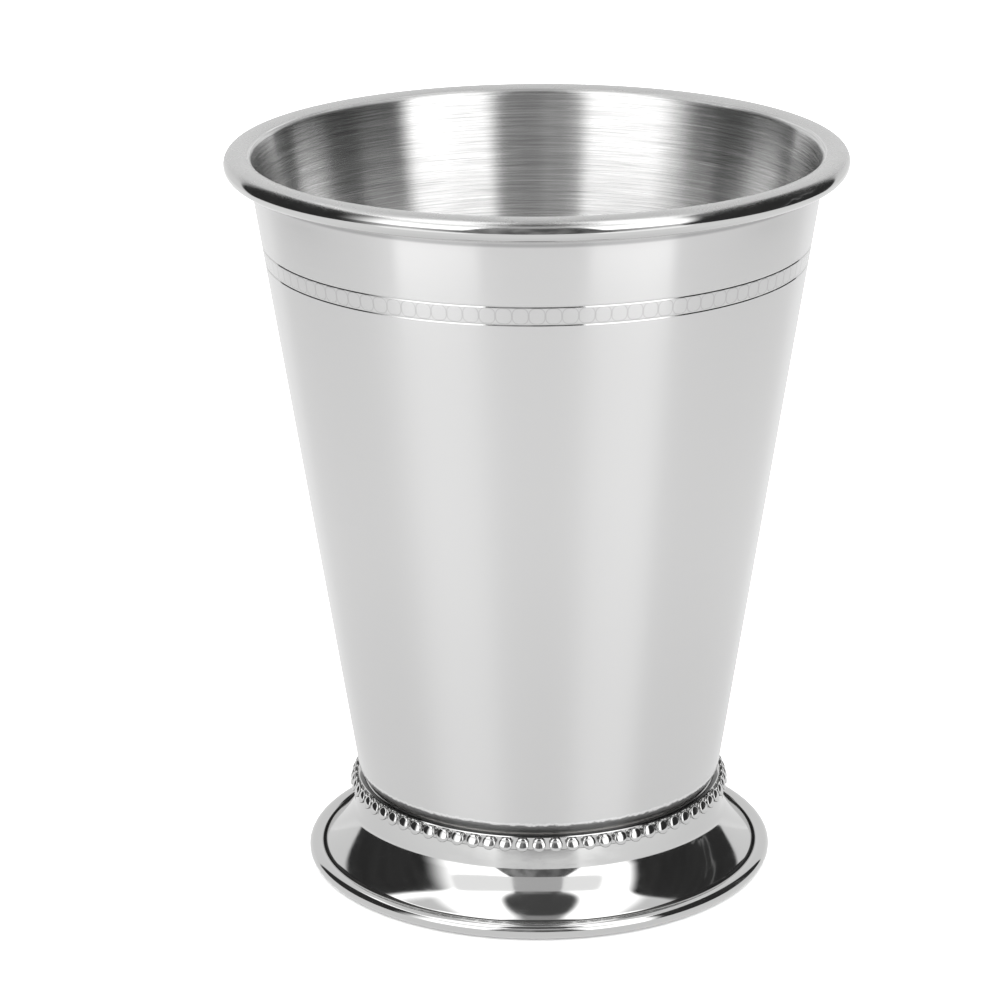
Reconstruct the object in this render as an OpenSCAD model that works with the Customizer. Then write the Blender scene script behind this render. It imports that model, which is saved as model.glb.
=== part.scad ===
// Footed julep cup in stainless steel: a tapered cup with a rolled rim stands on
// a flared foot, and a row of small beads covers the joint between the two.
// The cup's axis is Z, and the foot rests on z = 0.

/* [Cup] */
// Height from the table to the top of the rim
overall_h = 113.3; // [100:0.1:130]
// Outer diameter over the rolled rim
rim_d = 93.6; // [86:0.1:102]
// Height of the cup's flat bottom above the table
seat_h = 13.45; // [12.5:0.05:18]
// Outer diameter that the tapered wall has at the level of its bottom
wall_low_d = 56.14; // [50:0.02:62]
// Thickness of the sheet that the cup is drawn from
cup_t = 0.7; // [0.4:0.05:1]
// Outer radius of the corner between the cup's bottom and its wall
cup_corner_r = 2.2; // [1.8:0.1:3]

/* [Rolled rim] */
// Outer diameter of the roll, seen in section
roll_d = 3.64; // [3:0.02:5]
// How far the straight wall, drawn on upward, would cut into the full circle of the roll
roll_lap = 0.1; // [0:0.05:0.3]
// Angle at which the sheet's free edge ends, below the level through the roll's centre
roll_end_a = 150; // [120:1:152]

/* [Foot] */
// How much further out the foot's edge reaches than the lower end of its neck
foot_spread = 7.54; // [6:0.02:10]
// Thickness of the sheet that the foot is pressed from
foot_t = 0.6; // [0.4:0.05:0.8]
// Diameter of the round hole in the flange under the cup
flange_hole_d = 40; // [20:1:46]
// How far the short collar under the cup stands inside the line of the cup's wall
collar_in = 0.32; // [0.2:0.01:0.5]
// Height of the collar, from the flange down to the shoulder
collar_h = 2.1; // [2:0.05:3]
// How far the shoulder steps out under the bead ring
shoulder_w = 0.65; // [0.4:0.05:1]
// Height of the straight neck below the shoulder
neck_h = 2.15; // [1:0.05:3]
// Angle between the neck and the cup's axis
neck_a = 9.5; // [4:0.5:14]
// Outer diameter of the curled edge, seen in section
curl_d = 2.44; // [2:0.02:3.4]
// Where on the curled edge the flare meets it, as an angle from the outside
valley_a = 143; // [130:1:150]
// Depth of the flat that the curled edge rests on
land_depth = 0.04; // [0.02:0.01:0.08]

/* [Bead ring] */
// Diameter of one bead
bead_d = 2.07; // [1.6:0.01:2.3]
// Number of beads round the ring
bead_n = 72; // [48:1:76]
// Thickness of the strip behind the beads
strip_t = 0.7; // [0.4:0.05:0.8]
// How far the beads' centres stand out of the strip's face
bead_out = 0.27; // [0.1:0.01:0.6]
// Distance from the top of the strip down to the beads' centres
bead_drop = 0.98; // [0.9:0.01:1.1]

/* [Brazed seam] */
// Width of the filler between the cup's corner and the flange
seam_w = 0.5; // [0.3:0.05:0.6]

/* [Hidden] */
$fn = 120;

// Overrun of every cut past the face that it opens
cut = 1;

// The roll's section is a circle of this radius about this point
roll_r = roll_d / 2;
roll_x = rim_d / 2 - roll_r;
roll_z = overall_h - roll_r;

// The wall's outer line: its two ends, its slope and its angle from the axis
wall_low_r = wall_low_d / 2;
wall_top_r = rim_d / 2 - roll_d + roll_lap;
wall_k = (wall_top_r - wall_low_r) / (roll_z - seat_h);
wall_a = atan(wall_k);
wall_q = sqrt(1 + wall_k * wall_k);
function wall_r(z) = wall_low_r + wall_k * (z - seat_h);

// A hair by which an arc is set into the straight face that it is tangent to, so
// that the two always cross
lap = 0.001;
function to_micron(x) = round(x * 1000) / 1000;

// Centre of the corner at the bottom of the wall, tangent to wall and bottom
corner_z = seat_h + cup_corner_r;
corner_x = wall_r(corner_z) - (cup_corner_r - lap) * wall_q;

// Radius and centre of the bend that leads the inner face of the wall over the rim
bend_r = to_micron((roll_x - wall_r(overall_h) + (cup_t + lap) * wall_q) / (wall_q - wall_k));
bend_z = overall_h - bend_r;

// The foot's collar, shoulder and neck
collar_r = wall_low_r - collar_in;
shoulder_z = seat_h - collar_h;
neck_r = collar_r + shoulder_w;
neck_low_r = neck_r + neck_h * tan(neck_a);
neck_low_z = shoulder_z - neck_h;

// The curled edge: a circle of this radius about this point, cut flat below
curl_r = curl_d / 2;
foot_r = neck_low_r + foot_spread;
curl_x = foot_r - curl_r;
curl_z = curl_r - land_depth;
// Angles at which the curled sheet starts and ends, either side of its open slot
curl_start_a = 162;
curl_end_a = 200;

// The flare is one arc, tangent to the neck, that ends on the curled edge
valley_x = curl_x + curl_r * cos(valley_a);
valley_z = curl_z + curl_r * sin(valley_a);
flare_dx = valley_x - neck_low_r;
flare_dz = valley_z - neck_low_z;
flare_r = (flare_dx * flare_dx + flare_dz * flare_dz)
    / (2 * (flare_dx * cos(neck_a) + flare_dz * sin(neck_a)));
flare_x = neck_low_r + flare_r * cos(neck_a);
flare_z = neck_low_z + flare_r * sin(neck_a);

// The bead ring's strip and the circle that the beads' centres lie on
strip_r = collar_r + strip_t;
bead_x = strip_r + bead_out;
bead_z = seat_h - bead_drop;

// The seam lies on the flange's flat, inside its rounded edge
seam_out_r = collar_r - foot_t;
seam_in_r = seam_out_r - seam_w;
seam_top = corner_z - sqrt(pow(cup_corner_r, 2) - pow(seam_out_r - corner_x, 2));

// Section of a sheet curled round to the outer radius r, open between two angles
module curled_sheet(r, t, open_from, open_to) {
    steps = 4;
    difference() {
        circle(r = r);
        circle(r = r - t);
        polygon(concat([[0, 0]], [
            for (i = [0:steps])
                let (a = open_from + (open_to - open_from) * i / steps)
                    2 * r * [cos(a), sin(a)]
        ]));
    }
}

// Half the space inside the cup's outer face, or inside that face moved in by inset
module cup_space(inset) {
    across = [cos(wall_a), -sin(wall_a)];
    corner = [corner_x, corner_z];
    corner_in = cup_corner_r - inset;
    bend = [roll_x, bend_z];
    bend_in = bend_r - cup_t + inset;
    wall_top = bend - (bend_in - lap) * across;
    difference() {
        union() {
            polygon([
                [0, seat_h + inset],
                [corner_x, seat_h + inset],
                corner,
                corner + (corner_in - lap) * across,
                wall_top,
                [roll_x, wall_top.y],
                [roll_x, overall_h + cut],
                [0, overall_h + cut]
            ]);
            translate(corner)
                circle(r = corner_in);
        }
        translate(bend)
            circle(r = bend_in);
    }
}

// Section of the cup: flat bottom, corner, tapered wall, bend and hollow roll
module cup_section() {
    difference() {
        cup_space(0);
        cup_space(cup_t);
    }
    translate([roll_x, roll_z])
        curled_sheet(roll_r, cup_t, 90, 360 - roll_end_a);
}

// Half the space inside the foot's outer face, or inside that face moved in by inset
module foot_space(inset) {
    neck_top_r = neck_r + inset * (tan(neck_a) - 1 / cos(neck_a));
    neck_low = [neck_low_r, neck_low_z] - inset * [cos(neck_a), sin(neck_a)];
    difference() {
        union() {
            polygon([
                [0, -cut],
                [curl_x, -cut],
                [curl_x, neck_low.y],
                neck_low,
                [neck_top_r, shoulder_z - inset],
                [collar_r - inset, shoulder_z - inset],
                [collar_r - inset, seat_h - foot_t],
                [0, seat_h - foot_t]
            ]);
            // The flange, with the rounded edge that it turns into the collar by
            if (inset < foot_t) {
                square([collar_r - foot_t, seat_h - inset]);
                translate([collar_r - foot_t, seat_h - foot_t])
                    circle(r = foot_t - inset);
            }
        }
        translate([flare_x, flare_z])
            circle(r = flare_r + inset + lap);
    }
}

// Section of the foot: flange, collar, shoulder, neck, flare and curled edge
module foot_section() {
    difference() {
        union() {
            difference() {
                foot_space(0);
                foot_space(foot_t);
                translate([curl_x, curl_z])
                    circle(r = curl_r - foot_t / 2);
                square([flange_hole_d / 2, seat_h + cut]);
            }
            translate([curl_x, curl_z])
                curled_sheet(curl_r, foot_t, curl_start_a, curl_end_a);
        }
        translate([0, -cut])
            square([foot_r + cut, cut]);
    }
}

// The cup itself, drawn in one piece from sheet
module cup_body() {
    color("gainsboro")
        rotate_extrude()
            cup_section();
}

// The foot, pressed and curled in one piece from sheet
module foot() {
    color("silver")
        rotate_extrude()
            foot_section();
}

// The ring that covers the joint: a flat strip with a row of beads on its face
module bead_ring() {
    color("whitesmoke") {
        rotate_extrude()
            translate([collar_r, shoulder_z])
                square([strip_t, collar_h]);
        for (i = [0:bead_n - 1])
            rotate([0, 0, 360 * i / bead_n])
                translate([bead_x, 0, bead_z])
                    sphere(d = bead_d);
    }
}

// The filler in the crevice between the cup's rounded corner and the flange
module braze_seam() {
    color("darkgray")
        rotate_extrude()
            difference() {
                translate([seam_in_r, seat_h])
                    square([seam_w, seam_top - seat_h]);
                translate([corner_x, corner_z])
                    circle(r = cup_corner_r);
            }
}

cup_body();
foot();
bead_ring();
braze_seam();
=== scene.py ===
# A footed julep cup in stainless steel, seen from above the rim on a white table.
from math import atan2, cos, degrees, pi, radians, sin, tan

import bmesh
import bpy
from mathutils import Matrix, Vector


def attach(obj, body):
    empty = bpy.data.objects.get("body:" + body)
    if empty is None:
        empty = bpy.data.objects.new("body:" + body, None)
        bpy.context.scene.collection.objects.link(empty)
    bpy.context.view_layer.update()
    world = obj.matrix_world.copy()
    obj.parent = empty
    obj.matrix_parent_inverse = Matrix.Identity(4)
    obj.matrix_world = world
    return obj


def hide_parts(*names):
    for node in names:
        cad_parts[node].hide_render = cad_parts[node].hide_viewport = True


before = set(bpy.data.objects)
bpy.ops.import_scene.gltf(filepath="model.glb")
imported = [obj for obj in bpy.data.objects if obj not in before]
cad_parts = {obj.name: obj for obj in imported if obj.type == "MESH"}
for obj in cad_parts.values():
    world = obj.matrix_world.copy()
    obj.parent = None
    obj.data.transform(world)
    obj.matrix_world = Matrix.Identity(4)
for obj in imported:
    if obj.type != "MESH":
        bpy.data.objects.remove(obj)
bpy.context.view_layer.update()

scene = bpy.context.scene

# The eye is half a metre in front of the cup and a little above it. It looks down at
# the cup through a long lens; its angles are in radians.
eye = Vector((0, -0.54143, 0.23525))
look_down, look_left, tilt = 0.3172, 0.0106, -0.0071
focal_pixels, picture_pixels, film_mm = 3697.97, 1001, 36
level_right = Vector((cos(look_left), sin(look_left), 0))
level_ahead = Vector((-sin(look_left), cos(look_left), 0))
ahead = cos(look_down) * level_ahead - sin(look_down) * Vector((0, 0, 1))
square_up = sin(look_down) * level_ahead + cos(look_down) * Vector((0, 0, 1))
right = cos(tilt) * level_right + sin(tilt) * square_up
up = cos(tilt) * square_up - sin(tilt) * level_right
lens = bpy.data.cameras.new("long_lens")
lens.sensor_width = film_mm
lens.lens = focal_pixels * film_mm / picture_pixels
lens.clip_start, lens.clip_end = 0.01, 20
camera = bpy.data.objects.new("camera", lens)
camera.matrix_world = Matrix.Translation(eye) @ Matrix(
    (right, up, -ahead)).transposed().to_4x4()
scene.collection.objects.link(camera)
scene.camera = camera
scene.view_settings.view_transform = "Standard"


# The floor is a wide sweep painted matt white. It can be looked through from below,
# so that the cup's underside shows too, and the steel doesn't mirror it.
class Signal:
    """A socket in a look, on which sums are written as they are in a formula."""

    def __init__(self, look, socket):
        self.look, self.socket = look, socket

    def math(self, how, *others):
        return self.look.node("Math", {"operation": how}, [self, *others])

    def __add__(self, other): return self.math("ADD", other)
    def __sub__(self, other): return self.math("SUBTRACT", other)
    def __mul__(self, other): return self.math("MULTIPLY", other)
    def __truediv__(self, other): return self.math("DIVIDE", other)
    def __pow__(self, other): return self.math("POWER", other)
    def __abs__(self): return self.math("ABSOLUTE")
    __radd__, __rmul__ = __add__, __mul__

    def __rsub__(self, other):
        return self.look.node("Math", {"operation": "SUBTRACT"}, [other, self])

    def out(self, name):
        """Another output of the node that this signal comes from."""
        return Signal(self.look, self.socket.node.outputs[name])

    def angle(self, run):
        """The angle in degrees of a slope that rises by this signal over that run."""
        return self.math("ARCTAN2", run) * (180 / pi)

    def step(self, low, high, start=0.0, end=1.0):
        """Goes softly from start to end while the signal goes from low to high."""
        return self.look.node("MapRange", {"interpolation_type": "SMOOTHSTEP"}, {
            "Value": self, "From Min": low, "From Max": high,
            "To Min": start, "To Max": end})

    def under(self, cover, value):
        """This signal, with another value laid over it where the cover is 1."""
        if isinstance(value, Signal):
            return self + (value - self) * cover
        return self * (1 - cover) + cover * value


class Look:
    """The nodes of one finish of the cup, or of the studio round it."""

    def __init__(self, owner, coordinate="Object"):
        owner.use_nodes = True
        self.owner, self.tree = owner, owner.node_tree
        self.tree.nodes.clear()
        place = self.node("TexCoord").out(coordinate)
        parts = self.node("SeparateXYZ", {}, [place])
        self.x, self.y, self.z = (parts.out(axis) for axis in "XYZ")
        self.reach = (self.x * self.x + self.y * self.y) ** 0.5

    def node(self, kind, settings={}, values={}):
        """Makes a node, and gives its first output; the values go by name or in turn."""
        made = self.tree.nodes.new("ShaderNode" + kind)
        for key, value in settings.items():
            setattr(made, key, value)
        for key, value in values.items() if isinstance(values, dict) else enumerate(values):
            if isinstance(value, Signal):
                self.tree.links.new(value.socket, made.inputs[key])
            else:
                made.inputs[key].default_value = value
        return Signal(self, made.outputs[0]) if len(made.outputs) else made

    def noise(self, x, y, z, detail=2.0, rough=0.5):
        at = self.node("CombineXYZ", {}, [x, y, z])
        return self.node("TexNoise", {}, {
            "Vector": at, "Scale": 1.0, "Detail": detail, "Roughness": rough})

    def blend(self, share, first, second):
        """A colour that goes from the first to the second as the share goes to 1."""
        return self.node("Mix", {"data_type": "RGBA"}, {0: share, 6: first, 7: second}).out(2)

    def finish(self, surface, kind="Material"):
        """Puts that shader on the outside, and gives back what wears the look."""
        self.node("Output" + kind, {}, {"Surface": surface})
        return self.owner


def lay_board(name, left, rightmost, front, back, height, paint):
    """A flat board of the studio, with its four edges in metres."""
    bm = bmesh.new()
    bmesh.ops.create_grid(bm, x_segments=1, y_segments=1, size=0.5)
    bmesh.ops.scale(bm, vec=(rightmost - left, back - front, 1), verts=bm.verts)
    bmesh.ops.translate(
        bm, vec=((left + rightmost) / 2, (front + back) / 2, height), verts=bm.verts)
    mesh = bpy.data.meshes.new(name)
    bm.to_mesh(mesh)
    bm.free()
    mesh.materials.append(paint)
    board = bpy.data.objects.new(name, mesh)
    scene.collection.objects.link(board)
    return board


matt = Look(bpy.data.materials.new("matt_white"))
paint = matt.node("BsdfDiffuse", {}, {"Color": (0.9, 0.9, 0.9, 1)})
from_below = matt.node("NewGeometry").out("Backfacing")
matt_white = matt.finish(
    matt.node("MixShader", {}, [from_below, paint, matt.node("BsdfTransparent")]))
floor = lay_board("floor", -3, 3, -3, 3, -0.0002, matt_white)
floor.visible_glossy = False

# What the steel mirrors in the floor's place is a smaller white board that glows evenly,
# seen only in reflections. Its glow is a little dimmer right round the foot, a painted
# shade, and far out it is brighter towards the two lights, a painted reflection of them.
lit = Look(bpy.data.materials.new("glowing_white"))
bearing = lit.x.angle(lit.y * -1)
gleam = abs(abs(bearing + 1) - 38).step(14, 20, 1.0, 0.0) * lit.reach.step(0.19, 0.24)
glow = (gleam * 0.36 + 0.95) * lit.reach.step(0.05, 0.14, 0.9, 1.0)
glow = lit.node("CombineColor", {}, [glow, glow, glow])
glowing_white = lit.finish(lit.node("Emission", {}, {"Color": glow, "Strength": 1.0}))
glowing_white.cycles.emission_sampling = "NONE"
table_top = lay_board("table_top", -0.28, 0.28, -0.29, 0.6, 0, glowing_white)
table_top.visible_camera = table_top.visible_diffuse = table_top.visible_shadow = False

# The studio is a tent of white cloth, even for the floor and the eye. What the steel
# mirrors of it is drawn by direction, in degrees: turn is 0 at the camera and grows
# to the right, and rise is 0 at the horizon.
room = Look(bpy.data.worlds.new("studio"), "Generated")
turn = room.x.angle(-1 * room.y)
rise = room.z.angle(room.reach)


def patch(turn_at, rise_at, wide, high, soft, square=2.6):
    """A rounded patch of the tent: its centre, its half size and how soft it ends."""
    across, along = abs(turn - turn_at) / wide, abs(rise - rise_at) / high
    far = (across ** square + along ** square) ** (1 / square)
    return far.step(1 - soft, 1 + soft, 1.0, 0.0)


# The cloth is brightest in front and dimmer behind the cup and up in the roof
tent = abs(turn).step(118, 134, 2.6, 1.05)
tent = tent.under(rise.step(46, 52) * abs(turn).step(66, 84), 1.0)
tent = tent.under(rise.step(71, 80), 0.7)
# Under the horizon it is dark past the table's front edge
beneath = rise.step(-3, -1, 1.0, 0.0) * abs(turn).step(120, 134, 1.0, 0.0)
tent = tent.under(beneath, abs(turn).step(10, 50, 0.1, 0.9))
# It stands open at the left and the right, where a fold of cloth hangs in the dark
folds = room.noise(turn * 0.16, rise * 0.02, 0.0, 2.0)
dusk = folds.step(0.3, 0.7, 0.04, 0.052)
hanging = abs(turn - 84 - folds * 46 - rise * 0.4).step(0, 3.5, 0.2, 0.0)
hanging = hanging * abs(turn - 112).step(10, 20, 1.0, 0.0)
left_gap = patch(-90, 6, 42.5, 39, 0.04, 4.5) * turn.step(-76, -49, 1.0, 0.0)
right_gap = patch(94, 8, 42, 42, 0.03, 3.6) * (turn - rise * 0.18).step(50, 60)
tent = tent.under(left_gap, dusk)
tent = tent.under(right_gap, dusk + hanging)
# High over the camera is a dark opening in a grey one, and below it, between the two
# lights, the grey gap that the lens looks through, which narrows upwards
tent = tent.under(patch(1, 64, 28, 20, 0.2, 2.5), 0.45)
tent = tent.under(patch(1, 59, 28, 13, 0.12, 3), 0.10)
gap_wide = 24.5 - rise.math("MINIMUM", 35.0) * 0.245
lens_gap = (abs(turn + 1) - gap_wide).step(-0.8, 0.8, 1.0, 0.0)
lens_gap = lens_gap * rise.step(47, 49, 1.0, 0.0)
grey = folds.step(0.3, 0.7, 0.13, 0.36) * turn.step(-16, 16, 1.25, 0.75)
tent = tent.under(lens_gap, grey)
# A bar of paler cloth crosses the gap and the lights
tent = tent.under(patch(-8, 37, 49, 8, 0.04, 10), 1.45)
tent = tent.under(patch(-1, 37, 16, 8.4, 0.06, 8), 0.70)
mirrored = room.node("Background", {}, {"Strength": tent})
even = room.node("Background", {}, {"Color": (1, 1, 1, 1), "Strength": 2.5})
glossy = room.node("LightPath").out("Is Glossy Ray")
scene.world = room.finish(room.node("MixShader", {}, [glossy, even, mirrored]), "World")
scene.world.cycles.sampling_method = "NONE"

# The cup itself is drawn from one sheet of stainless steel: flat bottom, rounded
# corner, tapered wall, and a rim rolled outward into a hollow tube. Its wall is
# satin outside and brushed on a lathe inside; corner and rim are polished.
MM = 0.001
ROUND = 288
seat, top, sheet = 13.45, 113.3, 0.7
wall_low_x, wall_top_x = 28.07, 43.26
roll_r, roll_x = 1.82, 44.974
roll_z = top - roll_r
slope = (wall_top_x - wall_low_x) / (roll_z - seat)
slant = atan2(slope, 1)
slant_deg = degrees(slant)
# The band: a row of oblong cells between two engraved lines
band_z, band_half, cells, cell_high = 98.12, 1.18, 110, 2.37
line_low, line_high = 96.77, 99.475
# Steel in full light, and a painted shade that the wall's hollows and corner, which stay
# dark, are blended towards
pale, shaded = (0.95, 0.95, 0.947, 1), (0.22, 0.22, 0.22, 1)
buffed = (0.64, 0.64, 0.637, 1)


def steel(look, colour, roughness, normal=None, along=0.0):
    """Bare steel; along tells how much its grain runs round the axis."""
    values = {"Base Color": colour, "Metallic": 1.0, "Roughness": roughness,
              "Anisotropic": along, "Anisotropic Rotation": 0.25}
    if normal is not None:
        values["Normal"] = normal
    return look.node("BsdfPrincipled", {}, values)


def relief(look, height):
    """Raises the surface by that many millimetres."""
    return look.node("Bump", {}, {"Strength": 1.0, "Distance": MM, "Height": height})


def polished(name, dull_from=200.0):
    """Mirror-bright steel, with the faint waves and wipe marks of a buffed sheet. It
    gets duller from that height upwards."""
    f = Look(bpy.data.materials.new(name))
    waves = f.noise(f.x * 90, f.y * 90, f.z * 90, 1.0)
    wipes = f.noise(f.x * 260, f.y * 260, f.z * 900, 4.0, 0.6)
    dull = (f.z / MM).step(dull_from, dull_from + 1.0)
    rough = wipes.step(0.35, 0.8, 0.06, 0.12) + dull * 0.2
    return f.finish(steel(f, buffed, rough, relief(f, waves * 0.02)))


def satin_wall():
    """The wall's outer face: fine satin, with the stamped band under the rim, whose cell
    outlines are painted darker as painted shade, a band of painted shade under the roll,
    and the ragged edge that polishing the corner left: the corner below it is painted dark
    as painted shade, and a thin painted highlight runs along that edge."""
    f = Look(bpy.data.materials.new("satin_wall"))
    lathe = f.noise(f.x * 60, f.y * 60, f.z * 4200, 3.0, 0.6)
    cloud = f.noise(f.x * 40, f.y * 40, f.z * 40, 3.0)
    round_it = f.y.math("ARCTAN2", f.x)
    across = (round_it * (cells / (2 * pi))).math("FRACT") - 0.5
    height = (f.z / MM - band_z) / cell_high
    side = (abs(across) - 0.10).math("MAXIMUM", 0.0)
    upward = (abs(height) - 0.12).math("MAXIMUM", 0.0)
    edge = (side * side + upward * upward) ** 0.5
    line = abs(edge - 0.375).step(0.0, 0.05, 1.0, 0.0)
    within = abs(f.z / MM - band_z).step(band_half, band_half + 0.07, 1.0, 0.0)
    bump = relief(f, lathe * 0.0006 - line * within * 0.006)
    # Painted shade: a thin band under the roll is blended towards the dark colour
    under_roll = abs(f.z / MM - 108.75).step(0.1, 0.5, 1.0, 0.0)
    # Painted shade: round the corner the wall is blended nearly to the dark colour, and made
    # rougher; a thin ragged line just above it is painted lighter, a painted highlight
    ragged = f.noise(f.x * 1500, f.y * 1500, f.z * 1500, 3.0) * 0.8 + f.z / MM
    corner = ragged.step(15.5, 15.7, 1.0, 0.0)
    lip = abs(ragged - 15.9).step(0.0, 0.25, 1.0, 0.0)
    # The band's cell outlines are blended darker too, a painted shade in the grooves
    shade = under_roll * 0.36 + corner * 0.72 + line * within * 0.23 - lip * 0.2 + 0.25
    colour = f.blend(shade, pale, shaded)
    clear = steel(f, colour, lathe * 0.03 + cloud * 0.03 + corner * 0.2 + 0.09, bump, 0.5)
    haze = steel(f, colour, lathe * 0.06 + 0.38, bump, 1.0)
    return f.finish(f.node("MixShader", {}, [0.28, clear, haze]))


def brushed_inside():
    """The wall's inner face, brushed round and round on a lathe: short streaks, and
    here and there a brighter or darker scratch. The brush leaves the face leaning a
    little upwards."""
    f = Look(bpy.data.materials.new("brushed_inside"))
    along = f.z + f.reach
    streaks = f.noise(f.x * 80, f.y * 80, along * 5000, 2.0, 0.6)
    scratches = f.noise(f.x * 90 + 7, f.y * 90, along * 5000, 1.0)
    shade = streaks.step(0.3, 0.7, -0.11, 0.11) + 0.68
    shade = shade + scratches.step(0.64, 0.70, 0.0, 0.16)
    shade = shade - scratches.step(0.28, 0.36, 0.14, 0.0)
    colour = f.node("CombineColor", {}, [shade, shade, shade * 0.996])
    leaning = streaks * 0.0012 - f.z / MM * 0.14
    return f.finish(steel(f, colour, streaks * 0.06 + 0.21, relief(f, leaning), 1.0))


class Outline:
    """A line drawn in the plane of the axis, in millimetres, and turned about it."""

    def __init__(self, x, z):
        self.skins = []
        self.bm = bmesh.new()
        self.end = self.bm.verts.new((x * MM, 0, z * MM))

    def line(self, x, z, spans=1):
        """Goes straight on to x, z."""
        first, last = self.end.co.copy(), Vector((x * MM, 0, z * MM))
        for i in range(spans):
            new = bmesh.ops.extrude_vert_indiv(self.bm, verts=[self.end])
            self.end = new["verts"][0]
            self.end.co = first.lerp(last, (i + 1) / spans)
        return self

    def arc(self, x, z, turn, steps, wide=1.0):
        """Goes on round the centre x, z, clockwise for a positive turn. The round is
        an oval where it is said to be wider than it is high."""
        bm, centre = self.bm, Matrix.Translation((-x * MM, 0, -z * MM))
        known = set(bm.verts) - {self.end}
        bmesh.ops.scale(bm, vec=(1 / wide, 1, 1), space=centre, verts=[self.end])
        bent = bmesh.ops.spin(
            bm, geom=[self.end], cent=(x * MM, 0, z * MM), axis=(0, 1, 0),
            angle=radians(turn), steps=steps)
        self.end = next(g for g in bent["geom_last"] if isinstance(g, bmesh.types.BMVert))
        bmesh.ops.scale(
            bm, vec=(wide, 1, 1), space=centre, verts=[v for v in bm.verts if v not in known])
        return self

    def turned(self, slot=0):
        """Turns what was drawn since the last turn into a skin of that finish."""
        bm, last = self.bm, self.end.co.copy()
        bmesh.ops.spin(
            bm, geom=bm.verts[:] + bm.edges[:], cent=(0, 0, 0), axis=(0, 0, 1),
            angle=2 * pi, steps=ROUND, use_merge=True)
        for face in bm.faces:
            face.material_index = slot
        skin = bpy.data.meshes.new("skin")
        bm.to_mesh(skin)
        self.skins.append(skin)
        bm.clear()
        self.end = bm.verts.new(last)
        return self

    def piece(self, name, finishes, crease=20):
        """Closes the skins into one piece. Edges that turn by more than the crease, in
        degrees, stay sharp."""
        bm = self.bm
        bm.clear()
        for skin in self.skins:
            bm.from_mesh(skin)
            bpy.data.meshes.remove(skin)
        bmesh.ops.remove_doubles(bm, verts=bm.verts, dist=1e-7)
        bmesh.ops.recalc_face_normals(bm, faces=bm.faces)
        for face in bm.faces:
            face.smooth = True
        for edge in bm.edges:
            edge.smooth = edge.calc_face_angle(0) < radians(crease)
        mesh = bpy.data.meshes.new(name)
        bm.to_mesh(mesh)
        bm.free()
        for finish in finishes:
            mesh.materials.append(finish)
        made = bpy.data.objects.new(name, mesh)
        scene.collection.objects.link(made)
        return made


def wall_at(z, inset=0.0):
    """The radius of the wall's outer face at that height, or of a face inside it."""
    return wall_low_x + slope * (z - seat) - inset / cos(slant)


def beside(x, z, r, turn):
    """The place at that angle on a circle, counted from the outside upwards."""
    return x + r * cos(radians(turn)), z + r * sin(radians(turn))


def groove(outline, z, half=0.17, deep=0.075):
    """One engraved line of the band: a shallow V, burnished bright."""
    outline.line(wall_at(z - half), z - half).turned(satin)
    outline.line(wall_at(z) - deep, z).line(wall_at(z + half), z + half).turned(bright)


corner_r = 2.2
corner_z = seat + corner_r
corner_x = wall_at(corner_z) - corner_r / cos(slant)
bend_r = 2.505
bend_z = top - bend_r
# Inside, the wall turns over into the brim in a flatter curve than a circle
brim_high, brim_wide = 1.4, 2.354
brim_z, brim_oval = top - brim_high, brim_wide / brim_high
brim_start = degrees(atan2(brim_high * slope, brim_wide))

# Its outer face upwards from the middle of the bottom, then its inner face back
satin, bright, brushed = 0, 1, 2
cup = Outline(0, seat)
cup.line(corner_x, seat, 3).turned(bright)
cup.arc(corner_x, corner_z, -(90 - slant_deg), 12).turned(satin)
cup.line(wall_at(90), 90, 14).turned(satin)
groove(cup, line_low)
groove(cup, line_high)
cup.line(*beside(roll_x, bend_z, bend_r - sheet, 180 - slant_deg), 3).turned(satin)
cup.arc(roll_x, bend_z, 90 - slant_deg, 10)
cup.arc(roll_x, roll_z, 240, 30)
cup.line(*beside(roll_x, roll_z, roll_r, -150))
cup.arc(roll_x, roll_z, -240, 48)
cup.arc(roll_x, brim_z, -45, 10, brim_oval).turned(bright)
cup.arc(roll_x, brim_z, brim_start - 45, 12, brim_oval)
cup.line(*beside(corner_x, corner_z, corner_r - sheet, -slant_deg), 14).turned(brushed)
cup.arc(corner_x, corner_z, 90 - slant_deg, 10)
cup.line(0, seat + sheet, 6).turned(brushed)
cup_shell = cup.piece(
    "cup_shell", [satin_wall(), polished("polished_rim", 111.8), brushed_inside()])
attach(cup_shell, "root")
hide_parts("cup_body")

# The foot is pressed from thinner sheet and buffed to a mirror: a flange under the
# cup, a collar, a narrow shoulder, a neck that flares out, and an edge curled under.
# It is brazed to the cup's bottom by its flange.
foot_sheet = 0.6
hole_x, collar_x, shoulder_x = 20, 27.75, 28.4
shoulder_z = seat - 2.1
neck_lean, neck_z = 10.6, 8.472
neck_x = shoulder_x + (shoulder_z - neck_z) * tan(radians(neck_lean))
neck_inner_x = 27.89
curl_r = 1.22
curl_x, curl_z = 36.3 - curl_r, curl_r - 0.04
# Angles on the curl: half the flat that it rests on, where the flare closes on it, and
# its free edge
land = degrees(atan2(curl_z, (curl_r ** 2 - curl_z ** 2) ** 0.5))
close_turn, edge_turn = 141, 160
seam_x, seam_z = 33.93, 1.55
# The neck turns quickly into the flare, which then opens out in a slow curve
sweep_r, sweep_end = 4.473, 27.44
flare_r, flare_end = 16.185, 51.35
sweep_x = neck_x + sweep_r * cos(radians(neck_lean))
sweep_z = neck_z + sweep_r * sin(radians(neck_lean))
flare_x = sweep_x + (flare_r - sweep_r) * cos(radians(sweep_end))
flare_z = sweep_z + (flare_r - sweep_r) * sin(radians(sweep_end))

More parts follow.
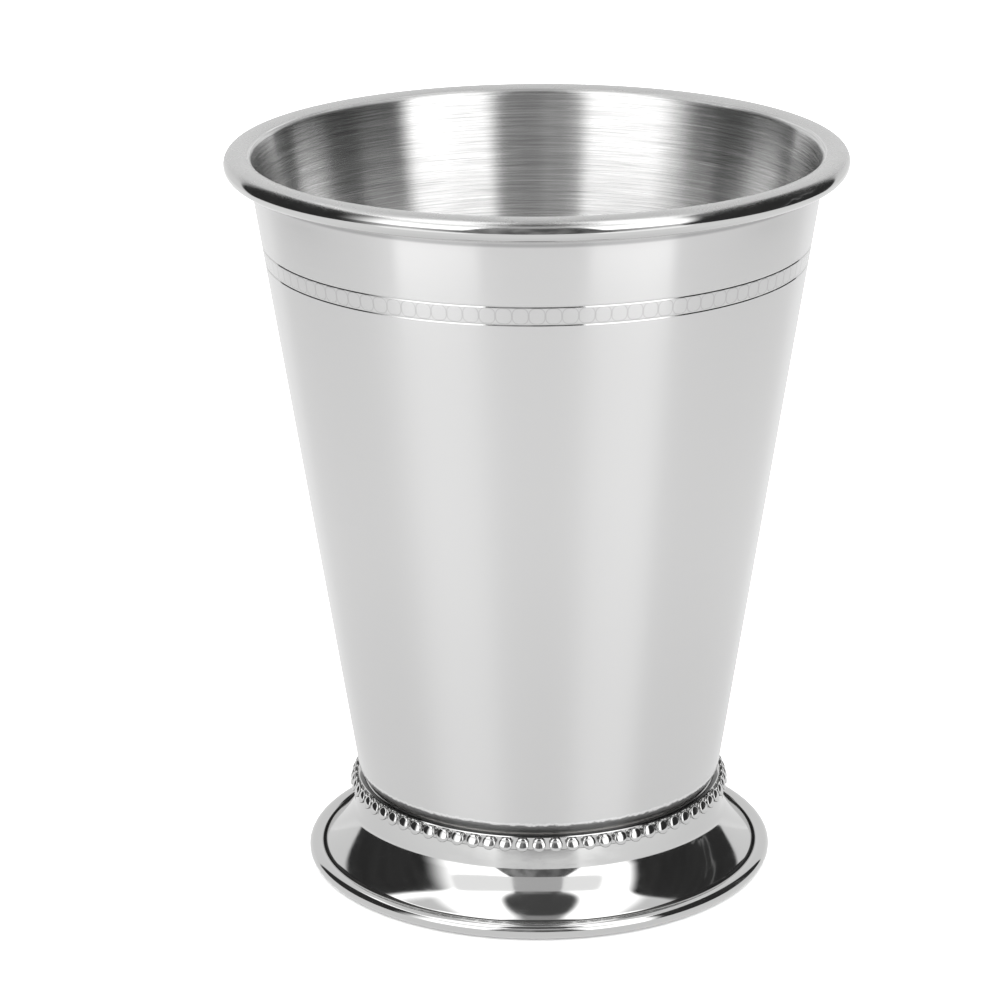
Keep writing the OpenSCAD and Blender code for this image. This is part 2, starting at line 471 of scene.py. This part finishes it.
# From the flange's hole out and down to the curl, then back up on the inside
foot = Outline(hole_x, seat - foot_sheet)
foot.line(hole_x, seat).line(collar_x - foot_sheet, seat, 2)
foot.arc(collar_x - foot_sheet, seat - foot_sheet, 90, 6)
foot.line(collar_x, shoulder_z).line(shoulder_x, shoulder_z).line(neck_x, neck_z, 3)
foot.arc(sweep_x, sweep_z, neck_lean - sweep_end, 20)
foot.arc(flare_x, flare_z, sweep_end - flare_end, 30).turned()
foot.line(seam_x, seam_z).line(*beside(curl_x, curl_z, curl_r, close_turn)).turned(1)
foot.arc(curl_x, curl_z, close_turn + land, 44)
foot.line(*beside(curl_x, curl_z, curl_r, land - 180))
foot.arc(curl_x, curl_z, land - 180 + edge_turn, 10)
foot.line(*beside(curl_x, curl_z, curl_r - foot_sheet, -edge_turn))
foot.arc(curl_x, curl_z, -2 * edge_turn, 40)
foot.line(*beside(flare_x, flare_z, flare_r + foot_sheet, 180 + flare_end))
foot.arc(flare_x, flare_z, flare_end - sweep_end, 20)
foot.arc(sweep_x, sweep_z, sweep_end - neck_lean, 12)
foot.line(neck_inner_x, shoulder_z - foot_sheet)
foot.line(collar_x - foot_sheet, shoulder_z - foot_sheet)
foot.line(collar_x - foot_sheet, seat - foot_sheet)
foot.line(hole_x, seat - foot_sheet, 2).turned()
# Where the flare closes on the curl, a narrow strip is painted nearly black with a faint
# mottle: painted shade in the crevice between them
seam = Look(bpy.data.materials.new("shaded_seam"))
seam_shade_mottle = seam.noise(seam.x * 300, seam.y * 300, seam.z * 300, 3.0)
painted_seam_shade = seam.blend(seam_shade_mottle, (0.05, 0.05, 0.05, 1), (0.14, 0.14, 0.135, 1))
shaded_seam = seam.finish(steel(seam, painted_seam_shade, seam_shade_mottle * 0.2 + 0.35))
foot_shell = foot.piece("foot_shell", [polished("polished_foot"), shaded_seam], 25)
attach(foot_shell, "root")
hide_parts("foot")

# The ring that hides the joint is a flat strip with a row of small beads raised on
# its face, soldered round the collar and polished with the foot. Each bead is a
# flattened dome that leans up a little.
strip_x = collar_x + 0.7
bead_r, bead_count, bead_flat, bead_lean = 2.07 / 2 * MM, 72, 0.3, 20
bead_x, bead_z = 29.25 * MM, 12.47 * MM
ring = Outline(collar_x, shoulder_z)
ring.line(strip_x - 0.1, shoulder_z).line(strip_x, shoulder_z + 0.1)
ring.line(strip_x, seat - 0.12).line(strip_x - 0.12, seat)
ring.line(collar_x, seat).line(collar_x, shoulder_z).turned()
bead = bmesh.new()
bmesh.ops.create_uvsphere(bead, u_segments=24, v_segments=14, radius=bead_r)
bmesh.ops.scale(bead, vec=(bead_flat, 1, 1), verts=[v for v in bead.verts if v.co.x > 0])
bmesh.ops.rotate(bead, matrix=Matrix.Rotation(radians(-bead_lean), 3, "Y"), verts=bead.verts)
bmesh.ops.translate(bead, vec=(bead_x, 0, bead_z), verts=bead.verts)
bmesh.ops.spin(
    bead, geom=bead.verts[:] + bead.edges[:] + bead.faces[:], cent=(0, 0, 0),
    axis=(0, 0, 1), angle=2 * pi * (bead_count - 1) / bead_count, steps=bead_count - 1,
    use_duplicate=True)
beads = bpy.data.meshes.new("beads")
bead.to_mesh(beads)
bead.free()
ring.skins.append(beads)
bead_strip = ring.piece("bead_strip", [polished("polished_beads")], 35)
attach(bead_strip, "root")
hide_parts("bead_ring")

# The joint inside the ring is brazed: a thin run of silver-grey filler between the
# cup's corner and the flange, left as it flowed. Its CAD solid stays.
brazing = Look(bpy.data.materials.new("brazing_filler"))
flow = brazing.noise(brazing.x * 900, brazing.y * 900, brazing.z * 900, 4.0)
silvery = brazing.blend(flow, (0.36, 0.355, 0.34, 1), (0.56, 0.555, 0.54, 1))
brazing_filler = brazing.finish(
    steel(brazing, silvery, flow * 0.3 + 0.3, relief(brazing, flow * 0.1)))
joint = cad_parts["braze_seam"]
joint.data.materials.clear()
joint.data.materials.append(brazing_filler)
